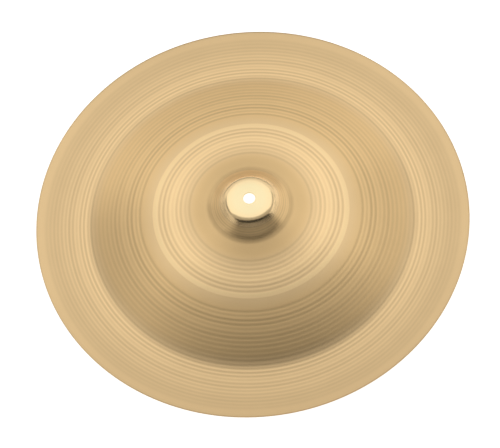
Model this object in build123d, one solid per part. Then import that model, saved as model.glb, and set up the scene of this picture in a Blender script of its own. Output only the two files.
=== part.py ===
from build123d import *
import os
from math import hypot

# China cymbal: one disc of cast bronze, rolled thin, hammered to shape and turned on a lathe.
# It is a single plate with nothing to take apart. Bell, flare, bow and upturned flange follow
# each other in one unbroken section, which is drawn as a half section and turned round Z.
# Millimetres throughout. +Z is the axis of the hole, and the cymbal lies bell up on the
# ring under its crease, which is at height 0.

# Diameters of the upper face, from the hole outwards
hole_diameter = 12.5
bell_crown_diameter = 50.0
bell_foot_diameter = 83.0
flare_diameter = 148.0
crease_diameter = 342.0
cymbal_diameter = 457.2

# Heights that the upper face loses or gains between those diameters
crown_drop = 1.25
bell_wall_drop = 12.45
flare_drop = 4.7
bow_drop = 18.9
flange_rise = 8.2

# The flange is dished to this radius, and the crown and the bow are domed about the axis
flange_radius = 160.0

# Bends of the upper face between those stretches
shoulder_bend = 12.0
foot_bend = 20.0
flare_bend = 450.0
crease_bend = 40.0

# Thickness of the metal, which the turning thins towards the rim
bell_thickness = 1.3
flare_thickness = 1.2
crease_thickness = 0.95
rim_thickness = 0.75


def domed(start, end):
    """A stretch of a sphere centred on the axis, between two corners."""
    centre_height = (start.length**2 - end.length**2) / (2 * (start.Y - end.Y))
    return RadiusArc(start, end, hypot(start.X, start.Y - centre_height))


def stretches(hole, shoulder, foot, flare_end, crease, rim, dish_radius):
    """One face of the plate in section: crown, bell wall, flare, bow and flange."""
    return [
        domed(hole, shoulder),
        Line(shoulder, foot),
        Line(foot, flare_end),
        domed(flare_end, crease),
        RadiusArc(crease, rim, -dish_radius),
    ]


def under(corner, thickness, before, after):
    """The corner of the lower face below an upper one, square to the bend between two stretches."""
    tangent = before % 1
    bisector = (tangent + after % 0).normalized()
    depth = thickness / bisector.dot(tangent)
    return corner + depth * Vector(bisector.Y, -bisector.X)


def straight_under(corner, thickness, tangent):
    """The corner of the lower face straight below an end of the upper one."""
    return corner - Vector(0, thickness / tangent.X)


def at(section, corner):
    """The section's vertex at a corner."""
    return section.vertices().sort_by_distance((corner.X, corner.Y, 0))[0]


# Corners of the upper face before its bends are rounded: X from the axis, Y up
crease = Vector(crease_diameter / 2, 0)
rim = Vector(cymbal_diameter / 2, crease.Y + flange_rise)
flare_end = Vector(flare_diameter / 2, crease.Y + bow_drop)
foot = Vector(bell_foot_diameter / 2, flare_end.Y + flare_drop)
shoulder = Vector(bell_crown_diameter / 2, foot.Y + bell_wall_drop)
hole = Vector(hole_diameter / 2, shoulder.Y + crown_drop)
upper_face = stretches(hole, shoulder, foot, flare_end, crease, rim, flange_radius)
crown, bell_wall, flare, bow, flange = upper_face

# The lower face has a corner under each upper one, with upright walls at the hole and the rim
hole_under = straight_under(hole, bell_thickness, crown % 0)
shoulder_under = under(shoulder, bell_thickness, crown, bell_wall)
foot_under = under(foot, bell_thickness, bell_wall, flare)
flare_end_under = under(flare_end, flare_thickness, flare, bow)
crease_under = under(crease, crease_thickness, bow, flange)
rim_under = straight_under(rim, rim_thickness, flange % 1)
flange_thickness = (crease_thickness + rim_thickness) / 2
lower_radius = flange_radius + flange_thickness
lower_face = stretches(
    hole_under, shoulder_under, foot_under, flare_end_under, crease_under, rim_under, lower_radius
)
section = make_face(upper_face + lower_face + [Line(hole, hole_under), Line(rim, rim_under)])

# Bends: each has one centre for both faces, so the metal keeps its thickness round it
section = fillet(at(section, shoulder), shoulder_bend)
section = fillet(at(section, shoulder_under), shoulder_bend - bell_thickness)
section = fillet(at(section, foot), foot_bend)
section = fillet(at(section, foot_under), foot_bend + bell_thickness)
section = fillet(at(section, flare_end), flare_bend)
section = fillet(at(section, flare_end_under), flare_bend + flare_thickness)
section = fillet(at(section, crease), crease_bend)
section = fillet(at(section, crease_under), crease_bend + crease_thickness)

# One turn round the axis, let down until the underside of the crease is at height 0
section = Pos(0, -section.bounding_box().min.Y) * section
cymbal = revolve(Plane.XZ * section, axis=Axis.Z)
cymbal.label = "cymbal"

os.makedirs("parts", exist_ok=True)
export_step(cymbal, "parts/cymbal.step")
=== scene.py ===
from collections import namedtuple
from math import asin, ceil, cos, pi, radians, sin

import bpy
from mathutils import Matrix, Vector, noise


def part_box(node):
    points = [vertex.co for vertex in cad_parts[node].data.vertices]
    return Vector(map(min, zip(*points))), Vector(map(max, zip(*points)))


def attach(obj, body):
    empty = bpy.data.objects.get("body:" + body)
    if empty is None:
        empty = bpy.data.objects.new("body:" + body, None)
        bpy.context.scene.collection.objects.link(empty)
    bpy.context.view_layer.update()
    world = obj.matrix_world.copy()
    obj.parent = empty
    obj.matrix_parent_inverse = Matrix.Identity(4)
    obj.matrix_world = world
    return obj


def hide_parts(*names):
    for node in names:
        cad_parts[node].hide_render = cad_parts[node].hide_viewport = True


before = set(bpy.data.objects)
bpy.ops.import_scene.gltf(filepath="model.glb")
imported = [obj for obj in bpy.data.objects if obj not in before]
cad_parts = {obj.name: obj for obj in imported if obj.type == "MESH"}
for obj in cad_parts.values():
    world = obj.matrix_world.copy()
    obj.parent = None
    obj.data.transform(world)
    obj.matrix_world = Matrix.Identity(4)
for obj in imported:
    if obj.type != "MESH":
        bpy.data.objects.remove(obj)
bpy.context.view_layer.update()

# The cymbal: one disc of cast bronze, rolled thin and hammered until it has its bell, bow and
# upturned flange. Both faces are turned on a lathe, which leaves the rings, and the bell is
# buffed bright. Nothing is fastened to it, and it hangs on its stand by the hole.
MM = 0.001
low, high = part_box("cymbal")
rim_radius = high.x
hole_radius = 6.25 * MM
crown_dome = 235.083 * MM
shoulder_bend = 12 * MM
foot_bend = 20 * MM
flare_bend = 450 * MM
bow_dome = 642.43 * MM
crease_bend = 40 * MM
flange_dish = 160 * MM
crown_reach = 21.56 * MM
wall_reach = 37.4 * MM
flare_reach = 68.553 * MM
bow_reach = 166.475 * MM
wall_fall = radians(37.036)
flare_fall = radians(8.229)
bow_fall = radians(6.991)
crease_fall = radians(0.375)
bell_thickness = 1.3 * MM
flare_thickness = 1.2 * MM
crease_thickness = 0.95 * MM
rim_thickness = 0.75 * MM
deburr = 0.3 * MM


class Walk:
    """A walk along the upper face in section, from the hole outwards. Each row holds the
    distance from the axis, the height and the angle at which the metal falls away."""

    def __init__(self, reach, height, fall, step):
        self.here = (reach, height, fall)
        self.step = step
        self.rows = [self.here]

    def bend(self, radius, reach=None, fall=None):
        """Follows an arc, domed if its radius is positive, out to a reach or a fall."""
        start_reach, start_height, start_fall = self.here
        if fall is None:
            fall = asin(sin(start_fall) + (reach - start_reach) / radius)
        count = ceil(abs(radius * (fall - start_fall)) / self.step)
        for i in range(1, count + 1):
            angle = start_fall + (fall - start_fall) * i / count
            reach = start_reach + radius * (sin(angle) - sin(start_fall))
            height = start_height + radius * (cos(angle) - cos(start_fall))
            self.rows.append((reach, height, angle))
        self.here = self.rows[-1]

    def straight(self, reach):
        """Goes straight on, out to a reach."""
        start_reach, start_height, fall = self.here
        length = (reach - start_reach) / cos(fall)
        count = ceil(length / self.step)
        for i in range(1, count + 1):
            gone = length * i / count
            reach = start_reach + gone * cos(fall)
            height = start_height - gone * sin(fall)
            self.rows.append((reach, height, fall))
        self.here = self.rows[-1]


def section(step):
    """The upper face before turning and hammering."""
    walk = Walk(hole_radius, high.z, asin(hole_radius / crown_dome), step)
    walk.bend(crown_dome, reach=crown_reach)
    walk.bend(shoulder_bend, fall=wall_fall)
    walk.straight(wall_reach)
    walk.bend(-foot_bend, fall=flare_fall)
    walk.straight(flare_reach)
    walk.bend(-flare_bend, fall=bow_fall)
    walk.bend(bow_dome, reach=bow_reach)
    walk.bend(-crease_bend, fall=crease_fall)
    walk.bend(-flange_dish, reach=rim_radius)
    return walk.rows


# Where the metal thins: start and end of a stretch, and the thickness at either end
thinning = [
    (wall_reach, flare_reach, bell_thickness, flare_thickness),
    (flare_reach, bow_reach, flare_thickness, crease_thickness),
    (bow_reach, rim_radius, crease_thickness, rim_thickness),
]


def thickness(reach):
    """The turning thins the metal from the foot of the bell to the crease and on to the rim."""
    for start, end, first, last in thinning:
        if reach < end:
            return first + max(0, reach - start) / (end - start) * (last - first)
    return rim_thickness


# Bands of rings that the turning tool left: where a band starts and ends, how far apart its
# ridges are, how deep the hollows between them are at either end of the band, and how much
# painted shade darkens the hollows at either end
RingBand = namedtuple("RingBand", "start end pitch first_depth last_depth first_shade last_shade")
ring_bands = [
    RingBand(30.0 * MM, 43.0 * MM, 2.05 * MM, 0.015 * MM, 0.020 * MM, 0.14, 0.08),
    RingBand(62.0 * MM, 99.2 * MM, 4.65 * MM, 0.045 * MM, 0.080 * MM, 0.11, 0.20),
    RingBand(115.5 * MM, 169.5 * MM, 4.50 * MM, 0.075 * MM, 0.035 * MM, 0.20, 0.06),
    RingBand(169.5 * MM, 221.0 * MM, 3.89 * MM, 0.080 * MM, 0.020 * MM, 0.17, 0.04),
]

# How much the rings differ in depth, and how far apart the noise that tells it is read from
# ring to ring and from band to band
depth_unevenness = 0.5
ring_sampling = 1.7
band_sampling = 100


def ring_depth(reach):
    """How deep the turning tool's rings are cut at a distance from the axis."""
    for band in ring_bands:
        if band.start <= reach < band.end:
            share = (reach - band.start) / (band.end - band.start)
            turn = (reach - band.start) / band.pitch
            hollow = 1 - (2 * (turn % 1) - 1) ** 2
            sample = Vector((int(turn) * ring_sampling, band.start * band_sampling, 0))
            uneven = 1 + depth_unevenness * noise.noise(sample)
            depth = band.first_depth + share * (band.last_depth - band.first_depth)
            return hollow * uneven * depth
    return 0


dent_depth = 0.05 * MM
dent_size = 17 * MM
small_dents = 0.5
small_dent_fineness = 1.9


def dent(x, y, reach):
    """Hammer marks, which the turning has nearly cleaned off, and none at the hole and the rim."""
    fade = min(1, (reach - hole_radius) / dent_size, (rim_radius - reach) / dent_size)
    large = noise.noise(Vector((x, y, 0)) / dent_size)
    small = noise.noise(Vector((y, x, 1)) / dent_size * small_dent_fineness)
    return dent_depth * fade * (1 + large + small_dents * small) / 2


# The closed section: upper face outwards, round the rim, lower face inwards and up the hole
upper_step = 0.78 * MM
lower_step = 1.05 * MM
upper = section(upper_step)
lower = section(lower_step)
rim_edge = rim_thickness / 2
rim_height = upper[-1][1]
rim_fall = upper[-1][2]
face_start = hole_radius + deburr
face_end = rim_radius - rim_edge * (1 - sin(rim_fall))
profile = []
for reach, height, fall in upper:
    if face_start < reach < face_end:
        cut = ring_depth(reach)
        profile.append((reach - cut * sin(fall), height - cut * cos(fall)))
rim_out = Vector((cos(rim_fall), -sin(rim_fall)))
rim_up = Vector((sin(rim_fall), cos(rim_fall)))
rim_middle = Vector((rim_radius - rim_edge, rim_height - rim_edge * cos(rim_fall)))
edge_steps = 6
for i in range(edge_steps + 1):
    turned = pi / 2 - pi * i / edge_steps
    point = rim_middle + rim_edge * (cos(turned) * rim_out + sin(turned) * rim_up)
    profile.append((point.x, point.y))
for reach, height, fall in reversed(lower):
    deep = thickness(reach) - ring_depth(reach)
    under = reach - deep * sin(fall)
    if under > face_start and reach < face_end:
        profile.append((under, max(height - deep * cos(fall), low.z)))
hole_bottom = high.z - bell_thickness
corner_steps = 3
for corner_height, first in ((hole_bottom + deburr, 1.5 * pi), (high.z - deburr, pi)):
    for i in range(corner_steps + 1):
        turned = first - pi / 2 * i / corner_steps
        reach = face_start + deburr * cos(turned)
        profile.append((reach, corner_height + deburr * sin(turned)))

divisions = 180
points = []
faces = []
for row, (reach, height) in enumerate(profile):
    following = (row + 1) % len(profile)
    for i in range(divisions):
        angle = 2 * pi * i / divisions
        x = reach * cos(angle)
        y = reach * sin(angle)
        points.append((x, y, max(height - dent(x, y, reach), low.z)))
        beside = (i + 1) % divisions
        faces.append((
            row * divisions + i,
            following * divisions + i,
            following * divisions + beside,
            row * divisions + beside,
        ))
plate = bpy.data.meshes.new("turned_plate")
plate.from_pydata(points, [], faces)
plate.validate()
plate.shade_smooth()
cymbal = bpy.data.objects.new("turned_cymbal", plate)
bpy.context.scene.collection.objects.link(cymbal)


class Finish:
    """One value in the nodes of a finish. Arithmetic on it adds Math nodes."""

    def __init__(self, tree, socket=None):
        self.tree = tree
        self.socket = socket

    def node(self, kind, settings, inputs, output=0):
        """Adds any node: its settings first, then the values or links of its sockets."""
        made = self.tree.nodes.new(kind)
        for name, value in settings.items():
            setattr(made, name, value)
        for name, value in inputs.items():
            if isinstance(value, Finish):
                self.tree.links.new(value.socket, made.inputs[name])
            else:
                made.inputs[name].default_value = value
        return Finish(self.tree, made.outputs[output] if made.outputs else None)

    def maths(self, operation, *values):
        """Adds a Math node."""
        return self.node("ShaderNodeMath", {"operation": operation}, dict(enumerate(values)))

    def __add__(self, other):
        return self.maths("ADD", self, other)

    def __radd__(self, other):
        return self.maths("ADD", other, self)

    def __sub__(self, other):
        return self.maths("SUBTRACT", self, other)

    def __rsub__(self, other):
        return self.maths("SUBTRACT", other, self)

    def __mul__(self, other):
        return self.maths("MULTIPLY", self, other)

    def __rmul__(self, other):
        return self.maths("MULTIPLY", other, self)

    def coordinate(self, axis):
        """X, Y or Z of a vector."""
        return self.node("ShaderNodeSeparateXYZ", {}, {"Vector": self}, output=axis)

    def rise(self, start, end):
        """0 up to start and 1 from end, with a smooth rise between them."""
        return self.node(
            "ShaderNodeMapRange",
            {"interpolation_type": "SMOOTHSTEP"},
            {"Value": self, "From Min": start, "From Max": end},
        )

    def blend(self, first, second):
        """Goes from the first colour to the second as this value goes from 0 to 1."""
        return self.node(
            "ShaderNodeMix",
            {"data_type": "RGBA"},
            {0: self, 6: first, 7: second},
            output=2,
        )


bronze = bpy.data.materials.new("turned_bronze")
bronze.use_nodes = True
bronze.node_tree.nodes.clear()
base = Finish(bronze.node_tree)
place = base.node("ShaderNodeTexCoord", {}, {}, output="Object")
flat = base.node("ShaderNodeVectorMath", {"operation": "MULTIPLY"}, {0: place, 1: (1, 1, 0)})
from_axis = base.node(
    "ShaderNodeVectorMath", {"operation": "LENGTH"}, {0: flat}, output="Value"
)
line_spacing = 0.9 * MM
tool_lines = base.node(
    "ShaderNodeTexNoise",
    {"noise_dimensions": "1D"},
    {"W": from_axis, "Scale": 1 / line_spacing, "Detail": 3.0, "Roughness": 0.6},
)
tarnish_size = 45 * MM
tarnish = base.node(
    "ShaderNodeTexNoise",
    {},
    {"Vector": place, "Scale": 1 / tarnish_size, "Detail": 4.0, "Roughness": 0.55},
)

# How bright the turned metal is painted, from the bell outwards, partly its own tone and partly
# painted shade and light, as at the darker foot of the bell and the darker flange: where a change
# starts, where it ends, and how much it adds
tone_and_shade_changes = [
    (18 * MM, 23 * MM, 0.04),
    (28 * MM, 34 * MM, -0.04),
    (39 * MM, 45 * MM, -0.24),
    (50 * MM, 84 * MM, 0.32),
    (102.8 * MM, 104.4 * MM, -0.17),
    (113 * MM, 118 * MM, 0.06),
    (142 * MM, 162 * MM, 0.02),
    (165 * MM, 173 * MM, -0.06),
    (178 * MM, 194 * MM, -0.13),
    (196 * MM, 210 * MM, -0.08),
    (216 * MM, 224 * MM, 0.06),
]
tarnish_tone = 0.05
line_tone = 0.04
tone_and_shade = 1 + tarnish_tone * (tarnish - 0.5) + line_tone * (tool_lines - 0.5)
for start, end, change in tone_and_shade_changes:
    tone_and_shade = tone_and_shade + change * from_axis.rise(start, end)

# The hollows of the rings get painted shade, fainter in some rings than in others
band_edge = 1 * MM
faintest_hollow_shade = 0.55
hollow_shade_variety = 0.9
for band in ring_bands:
    turn = (from_axis - band.start) * (1 / band.pitch)
    off_middle = 2 * base.maths("FRACT", turn) - 1
    hollow = 1 - off_middle * off_middle
    inside = from_axis.rise(band.start, band.start + band_edge)
    inside = inside * (1 - from_axis.rise(band.end - band_edge, band.end))
    deepening = band.last_shade - band.first_shade
    shade = band.first_shade + from_axis.rise(band.start, band.end) * deepening
    variety = base.node(
        "ShaderNodeTexWhiteNoise", {"noise_dimensions": "1D"}, {"W": base.maths("FLOOR", turn)}
    )
    hollow_shade = faintest_hollow_shade + hollow_shade_variety * variety
    tone_and_shade = tone_and_shade - shade * inside * hollow * hollow * hollow_shade

# The bell is smoother and painted yellower than the turned metal, a painted highlight, and the
# turned metal's tint is painted redder in two bands, a painted shade colour
gold = (0.955, 0.683, 0.36, 1)
shade_red_gold = (0.955, 0.662, 0.322, 1)
bell_highlight_gold = (0.88, 0.735, 0.435, 1)
# Two bands of the turned metal are painted redder, the colour of painted shade
reddish_shade = from_axis.rise(28 * MM, 34 * MM) - from_axis.rise(56 * MM, 68 * MM)
reddish_shade = reddish_shade + from_axis.rise(103 * MM, 118 * MM) - from_axis.rise(158 * MM, 172 * MM)
turned_colour = base.node(
    "ShaderNodeVectorMath",
    {"operation": "SCALE"},
    {0: reddish_shade.blend(gold, shade_red_gold), "Scale": tone_and_shade},
)
# The crown of the bell is painted paler and yellower, a painted highlight
highlight_paling = 1 - from_axis.rise(14 * MM, 29 * MM)
colour = highlight_paling.blend(turned_colour, bell_highlight_gold)
turned_roughness = 0.34
buffing = 0.15
line_roughness = 0.06
line_height = 0.003 * MM
buffed = 1 - from_axis.rise(25 * MM, 34 * MM)
roughness = turned_roughness - buffing * buffed + line_roughness * (tool_lines - 0.5)
relief = base.node(
    "ShaderNodeBump",
    {},
    {"Strength": 1.0, "Distance": 1.0, "Height": tool_lines * (1 - buffed) * line_height},
)
metal = base.node(
    "ShaderNodeBsdfPrincipled",
    {},
    {
        "Base Color": colour,
        "Metallic": 1.0,
        "Roughness": roughness,
        "Anisotropic": 0.5,
        "Anisotropic Rotation": 0.25,
        "Normal": relief,
    },
)
base.node("ShaderNodeOutputMaterial", {}, {"Surface": metal})
plate.materials.append(bronze)

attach(cymbal, "root")
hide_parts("cymbal")

# The table: one wide white sheet that glows a little from within, as a light table does, so
# that the hole shows bright and the shadow stays soft.
table_half = 12.0
corners = [
    (-table_half, -table_half, 0),
    (table_half, -table_half, 0),
    (table_half, table_half, 0),
    (-table_half, table_half, 0),
]
table = bpy.data.meshes.new("light_table")
table.from_pydata(corners, [], [(0, 1, 2, 3)])
table_top = bpy.data.objects.new("light_table", table)
bpy.context.scene.collection.objects.link(table_top)
white = bpy.data.materials.new("white_sheet")
white.use_nodes = True
white.node_tree.nodes.clear()
sheet = Finish(white.node_tree)
surface = sheet.node(
    "ShaderNodeBsdfPrincipled",
    {},
    {
        "Base Color": (0.4, 0.4, 0.4, 1),
        "Roughness": 0.9,
        "Emission Color": (1, 1, 1, 1),
        "Emission Strength": 0.95,
    },
)
sheet.node("ShaderNodeOutputMaterial", {}, {"Surface": surface})
table.materials.append(white)

# The light: cloth scrims hang 80 cm over the table, brightest beyond the middle of the cymbal,
# with a bright card at either side of them. The camera looks down through the gap between the
# near scrim and a faint one at its back.
scrim_height = 0.8


def scrim(name, near, far, left, right, brightness):
    """A stretch of scrim, or a card. It reaches from near to far and from left to right of the
    cymbal's axis, in metres, and gives so many watts to the square metre."""
    panel = bpy.data.lights.new(name, "AREA")
    panel.shape = "RECTANGLE"
    panel.size = right - left
    panel.size_y = far - near
    panel.energy = brightness * panel.size * panel.size_y
    lamp = bpy.data.objects.new(name, panel)
    lamp.location = ((left + right) / 2, (near + far) / 2, scrim_height)
    lamp.visible_camera = False
    bpy.context.scene.collection.objects.link(lamp)


scrim("back_scrim", -1.6, -0.8, -1.3, 1.3, 1.0)
scrim("near_scrim", -0.25, 0.1, -0.8, 0.8, 1.35)
scrim("main_scrim", 0.1, 0.7, -0.5, 0.5, 3.5)
scrim("left_scrim", 0.1, 0.7, -0.8, -0.5, 0.6)
scrim("right_scrim", 0.1, 0.7, 0.5, 0.8, 1.1)
scrim("left_card", -0.75, 0.7, -1.5, -0.8, 2.2)
scrim("right_card", -0.35, 0.7, 0.8, 1.5, 3.0)
scrim("far_scrim", 0.7, 1.8, -1.3, 1.3, 2.55)

# The room: its walls are pale up to 20 degrees above the horizon and dim higher up, and they
# are dimmer beyond the table and to its left than elsewhere.
room = bpy.data.worlds.new("room")
room.use_nodes = True
room.node_tree.nodes.clear()
air = Finish(room.node_tree)
direction = air.node("ShaderNodeTexCoord", {}, {}, output="Generated")
dim_above = direction.coordinate("Z").rise(0.34, 0.46)
dim_beyond = 0.5 * direction.coordinate("Y").rise(0.6, 0.85)
dim_left = 0.35 * (1 - direction.coordinate("X").rise(-0.9, -0.4))
dimness = dim_above + dim_beyond + dim_left
pale = (0.9, 0.9, 0.9, 1)
dim = (0.02, 0.02, 0.02, 1)
glow = air.node("ShaderNodeBackground", {}, {"Color": dimness.blend(pale, dim)})
air.node("ShaderNodeOutputWorld", {}, {"Surface": glow})
bpy.context.scene.world = room

# The camera: it looks down on the cymbal from 28 degrees off its axis, rolled a little about
# its line of sight, as the photograph was framed.
camera_tilt = radians(27.949)
camera_roll = radians(-8.176)
camera_distance = 1.5
aim = Vector((-2.93 * MM, -14.98 * MM, rim_height))
backwards = Vector((0, -sin(camera_tilt), cos(camera_tilt)))
stand = backwards * camera_distance + Vector((0, 0, rim_height))
sight = (aim - stand).normalized()
level = sight.cross(Vector((0, 0, 1))).normalized()
upright = level.cross(sight)
across = level * cos(camera_roll) + upright * sin(camera_roll)
along = upright * cos(camera_roll) - level * sin(camera_roll)
view = bpy.data.cameras.new("view")
view.sensor_fit = "HORIZONTAL"
view.sensor_width = 36
view.lens = 102.38
camera = bpy.data.objects.new("view", view)
camera.matrix_world = Matrix((
    (across.x, along.x, -sight.x, stand.x),
    (across.y, along.y, -sight.y, stand.y),
    (across.z, along.z, -sight.z, stand.z),
    (0, 0, 0, 1),
))
bpy.context.scene.collection.objects.link(camera)
bpy.context.scene.camera = camera
bpy.context.scene.view_settings.view_transform = "Standard"
